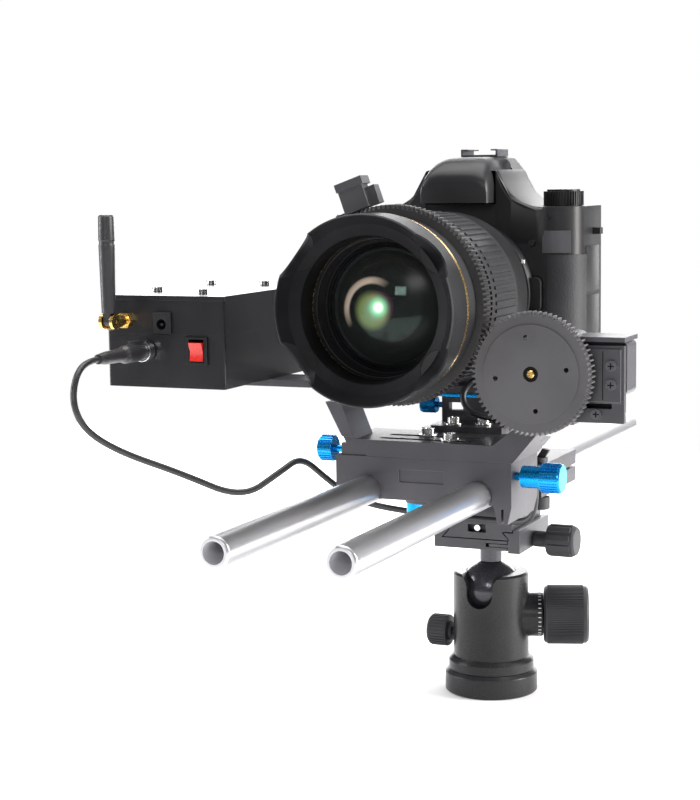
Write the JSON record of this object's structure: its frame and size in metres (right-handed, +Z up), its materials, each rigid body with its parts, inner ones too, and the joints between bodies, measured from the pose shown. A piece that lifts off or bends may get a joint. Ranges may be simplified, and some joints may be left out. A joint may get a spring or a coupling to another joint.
{
  "type": "camera rod rig with follow focus on a ball head",
  "caption": "Camera and wide lens on a two-rod rig with a geared focus motor, radio receiver and lead, on a ball head with quick-release clamp.",
  "frame": {"origin": "mouth of the tripod thread, on the ball head's axis, at its underside", "axes": "+Z up, -Y towards what the lens looks at, along the rods, +X towards the focus motor"},
  "size_m": [0.2956, 0.45, 0.3036],
  "materials": {
    "head_black": "fine matte black paint",
    "knob_rubber": "ribbed matte",
    "ball_metal": "satin dark anodised",
    "clamp_grey": "dark grey anodised",
    "rod_silver": "satin silver",
    "block_grey": "dark grey anodised, matte",
    "blue_anodised": "bright blue anodised",
    "steel": "bright",
    "camera_plastic": "fine textured black",
    "screen": "glossy",
    "lens_black": "satin black",
    "lens_rubber": "ribbed",
    "gold": "thin gold band",
    "lens_glass": "coated glass",
    "gear_black": "matte black",
    "gear_grey": "matte grey anodised",
    "box_plastic": "semi gloss black",
    "red_plastic": "red translucent plastic",
    "chrome": "polished",
    "cable_black": "smooth PVC"
  },
  "bodies": {
    "base": {"head_base": "head_black"},
    "housing": {"head_housing": "head_black"},
    "ball_lock": {"ball_lock_knob": "knob_rubber"},
    "pan_lock": {"pan_lock_knob": "knob_rubber"},
    "ball": {"head_ball": "ball_metal"},
    "stem": {"head_stem": "ball_metal"},
    "clamp": {"clamp_base": "clamp_grey"},
    "jaw": {"clamp_jaw": "clamp_grey"},
    "clamp_screw": {"clamp_knob": "knob_rubber"},
    "rig": {"release_plate": "clamp_grey", "front_block": "block_grey", "rear_clamp": "block_grey", "cradle": "block_grey", "steel_screws": "steel", "riser_bracket": "clamp_grey", "support_pad": "blue_anodised", "accessory_arm": "block_grey", "camera_foot": "block_grey", "camera_body": "camera_plastic", "hot_shoe": "steel", "rear_screen": "screen", "lens_barrel": "lens_black", "lens_hood": "lens_black", "gold_ring": "gold", "front_glass": "lens_glass", "motor_bracket": "clamp_grey", "motor_case": "block_grey", "panel_screws": "steel", "receiver_case": "box_plastic", "receiver_lid": "box_plastic", "power_jack": "camera_plastic", "switch_bezel": "camera_plastic", "cable_socket": "chrome", "cable_plug": "cable_black", "aerial_mount": "gold", "cable": "cable_black"},
    "left_rod": {"rod_left": "rod_silver"},
    "right_rod": {"rod_right": "rod_silver"},
    "right_knob": {"rod_knob_right": "blue_anodised"},
    "left_knob": {"rod_knob_left": "blue_anodised"},
    "foot_screw": {"foot_knob": "blue_anodised"},
    "pinch": {"pinch_screw": "knob_rubber"},
    "riser_screw": {"riser_knob": "blue_anodised"},
    "focus": {"focus_ring": "lens_rubber", "focus_gear": "gear_black", "gear_clip": "gear_grey"},
    "zoom": {"zoom_ring": "lens_rubber"},
    "drive": {"drive_gear": "gear_grey"},
    "flash": {"flash_head": "camera_plastic"},
    "mode": {"mode_dial": "camera_plastic"},
    "wheel": {"main_dial": "camera_plastic"},
    "shutter": {"shutter_button": "camera_plastic"},
    "top_left": {"top_button_left": "camera_plastic"},
    "top_right": {"top_button_right": "camera_plastic"},
    "lens_release": {"lens_release_button": "camera_plastic"},
    "flash_press": {"flash_button": "camera_plastic"},
    "rocker": {"power_rocker": "red_plastic"},
    "aerial_turn": {"aerial_elbow": "gold"},
    "aerial_fold": {"aerial_rod": "cable_black"}
  },
  "joints": [
    {"name": "pan", "type": "hinge", "parent": "base", "child": "housing", "pos_m": [0, 0, 0.0133], "axis": [0, 0, 1], "continuous": true},
    {"name": "ball_lock_turn", "type": "hinge", "parent": "housing", "child": "ball_lock", "pos_m": [0.02837, 0.00977, 0.0432], "axis": [0.9455, 0.3256, 0], "range_deg": [-180, 60]},
    {"name": "pan_lock_turn", "type": "hinge", "parent": "housing", "child": "pan_lock", "pos_m": [-0.03, 0, 0.0315], "axis": [-1, 0, 0], "range_deg": [-180, 60]},
    {"name": "ball_roll", "type": "hinge", "parent": "housing", "child": "ball", "pos_m": [0, 0, 0.058], "axis": [0, 1, 0], "range_deg": [-14, 14]},
    {"name": "ball_pitch", "type": "hinge", "parent": "ball", "child": "stem", "pos_m": [0, 0, 0.058], "axis": [1, 0, 0], "range_deg": [-20, 90]},
    {"name": "clamp_turn", "type": "hinge", "parent": "stem", "child": "clamp", "pos_m": [0, 0, 0.0855], "axis": [0, 0, 1], "continuous": true},
    {"name": "jaw_slide", "type": "slide", "parent": "clamp", "child": "jaw", "axis": [1, 0, 0], "range_m": [0, 0.003]},
    {"name": "clamp_screw_turn", "type": "hinge", "parent": "jaw", "child": "clamp_screw", "pos_m": [0.03, 0, 0.08825], "axis": [1, 0, 0], "range_deg": [0, 1350]},
    {"name": "plate_slide", "type": "slide", "parent": "clamp", "child": "rig", "axis": [0, 1, 0], "range_m": [-0.012, 0.012]},
    {"name": "rod_slide_left", "type": "slide", "parent": "rig", "child": "left_rod", "axis": [0, 1, 0], "range_m": [-0.1, 0.1]},
    {"name": "rod_slide_right", "type": "slide", "parent": "rig", "child": "right_rod", "axis": [0, 1, 0], "range_m": [-0.1, 0.1]},
    {"name": "rod_knob_right_turn", "type": "hinge", "parent": "rig", "child": "right_knob", "pos_m": [0.048, -0.098, 0.14], "axis": [1, 0, 0], "range_deg": [0, 360]},
    {"name": "rod_knob_left_turn", "type": "hinge", "parent": "rig", "child": "left_knob", "pos_m": [-0.0446, -0.098, 0.1495], "axis": [-1, 0, 0], "range_deg": [0, 360]},
    {"name": "foot_knob_turn", "type": "hinge", "parent": "rig", "child": "foot_screw", "pos_m": [-0.009, -0.092, 0.1232], "axis": [0, 0, -1], "range_deg": [0, 360]},
    {"name": "pinch_turn", "type": "hinge", "parent": "rig", "child": "pinch", "pos_m": [0.0434, -0.045, 0.13], "axis": [0, 0, -1], "range_deg": [0, 360]},
    {"name": "riser_knob_turn", "type": "hinge", "parent": "rig", "child": "riser_screw", "pos_m": [-0.0136, -0.0485, 0.168], "axis": [-1, 0, 0], "range_deg": [0, 360]},
    {"name": "motor_turn", "type": "hinge", "parent": "rig", "child": "drive", "pos_m": [0.0703, -0.14, 0.19678], "axis": [0, 1, 0], "range_deg": [-100, 100]},
    {"name": "focus_turn", "type": "hinge", "parent": "rig", "child": "focus", "pos_m": [0, -0.139, 0.2277], "axis": [0, 1, 0], "range_deg": [-61, 61]},
    {"name": "zoom_turn", "type": "hinge", "parent": "rig", "child": "zoom", "pos_m": [0, -0.1, 0.2277], "axis": [0, 1, 0], "range_deg": [-35, 35]},
    {"name": "flash_lift", "type": "hinge", "parent": "rig", "child": "flash", "pos_m": [0, -0.0215, 0.296], "axis": [-1, 0, 0], "range_deg": [0, 50]},
    {"name": "mode_dial_turn", "type": "hinge", "parent": "rig", "child": "mode", "pos_m": [0.0485, -0.02, 0.275], "axis": [0, 0, 1], "continuous": true},
    {"name": "main_dial_turn", "type": "hinge", "parent": "rig", "child": "wheel", "pos_m": [-0.062, -0.026, 0.2645], "axis": [1, 0, 0], "continuous": true},
    {"name": "shutter_press", "type": "slide", "parent": "rig", "child": "shutter", "axis": [0, 0, -1], "range_m": [0, 0.0012], "stiffness_N_per_m": 400, "springref_m": -0.0008},
    {"name": "top_left_press", "type": "slide", "parent": "rig", "child": "top_left", "axis": [0, 0, -1], "range_m": [0, 0.0008], "stiffness_N_per_m": 400, "springref_m": -0.0008},
    {"name": "top_right_press", "type": "slide", "parent": "rig", "child": "top_right", "axis": [0, 0, -1], "range_m": [0, 0.0008], "stiffness_N_per_m": 400, "springref_m": -0.0008},
    {"name": "lens_release_press", "type": "slide", "parent": "rig", "child": "lens_release", "axis": [0, 1, 0], "range_m": [0, 0.0015], "stiffness_N_per_m": 400, "springref_m": -0.0008},
    {"name": "flash_button_press", "type": "slide", "parent": "rig", "child": "flash_press", "axis": [0, 1, 0], "range_m": [0, 0.0008], "stiffness_N_per_m": 400, "springref_m": -0.0008},
    {"name": "rocker_tilt", "type": "hinge", "parent": "rig", "child": "rocker", "pos_m": [-0.127, -0.104, 0.1992], "axis": [-1, 0, 0], "range_deg": [0, 16]},
    {"name": "aerial_swivel", "type": "hinge", "parent": "rig", "child": "aerial_turn", "pos_m": [-0.17, -0.1156, 0.2146], "axis": [0, 1, 0], "range_deg": [-90, 90]},
    {"name": "aerial_hinge", "type": "hinge", "parent": "aerial_turn", "child": "aerial_fold", "pos_m": [-0.17, -0.124, 0.2153], "axis": [1, 0, 0], "range_deg": [0, 90]}
  ],
  "couplings": [
    {"joint": "focus_turn", "follows": "motor_turn", "ratio": -0.6},
    {"joint": "clamp_screw_turn", "follows": "jaw_slide", "rad_per_m": 7854}
  ]
}
